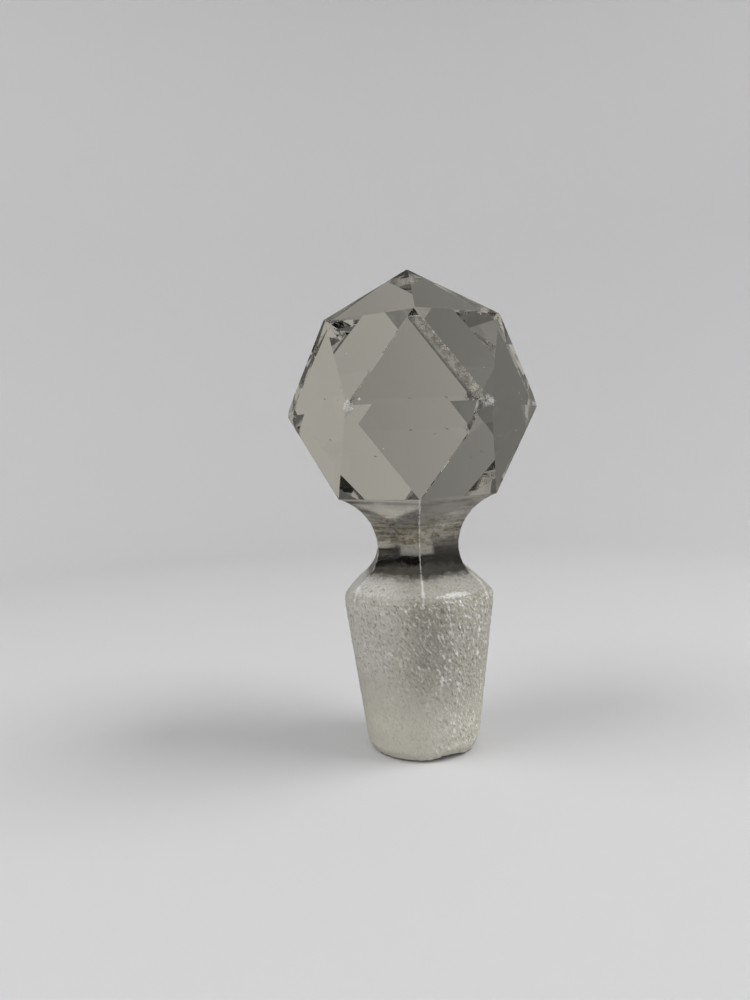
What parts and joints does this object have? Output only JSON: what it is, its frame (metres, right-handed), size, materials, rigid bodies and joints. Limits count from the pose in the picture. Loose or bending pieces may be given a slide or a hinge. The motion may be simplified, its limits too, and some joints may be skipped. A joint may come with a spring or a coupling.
{
  "type": "decanter stopper",
  "caption": "Clear cut crystal decanter stopper: a faceted, pointed ball on a fluted neck, with a flared shoulder and a ground taper plug.",
  "frame": {"origin": "centre of the plug's flat end, on the stopper's axis", "axes": "+Z along the axis from the plug to the ball's point, -Y towards a crest of the neck and an upright corner of the facets"},
  "size_m": [0.0378, 0.0328, 0.0721],
  "materials": {
    "polished_crystal": "polished, with sharp facet edges",
    "fluted_crystal": "polished over fine wheel marks",
    "satin_crystal": "satin",
    "ground_crystal": "coarse ground, matte"
  },
  "bodies": {
    "root": {"cut_ball": "polished_crystal", "fluted_neck": "fluted_crystal", "flared_shoulder": "satin_crystal", "ground_plug": "ground_crystal"}
  },
  "joints": []
}
